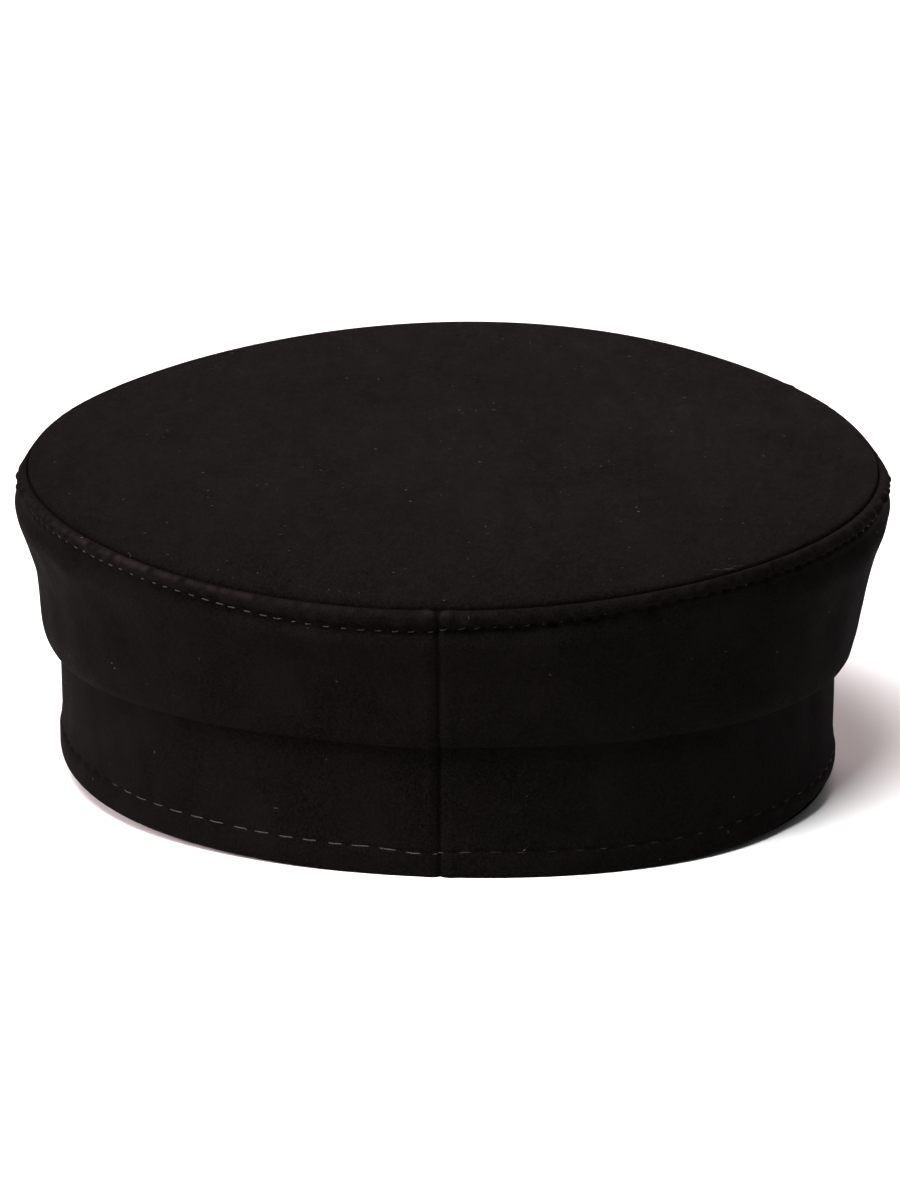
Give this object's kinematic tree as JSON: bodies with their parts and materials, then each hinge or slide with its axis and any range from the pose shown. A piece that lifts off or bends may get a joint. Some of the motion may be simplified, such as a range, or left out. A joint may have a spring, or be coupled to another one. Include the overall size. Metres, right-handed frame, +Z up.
{
  "type": "baker boy cap",
  "caption": "Soft cloth cap with a flat oval crown, a rolled side panel folded over a plain head band, and a short stiff peak.",
  "frame": {"origin": "middle of the cap's footprint, on the surface it stands on", "axes": "+Z up, -Y towards the peak's edge at the front, +Y towards the back of the head, +X to the left of the wearer"},
  "size_m": [0.1982, 0.2436, 0.0841],
  "materials": {
    "cloth": "matt napped cloth, very dark brown",
    "thread": "slightly glossy sewing thread"
  },
  "bodies": {
    "root": {"crown_top": "cloth", "side_panel": "cloth", "head_band": "cloth", "peak": "cloth"}
  },
  "joints": []
}
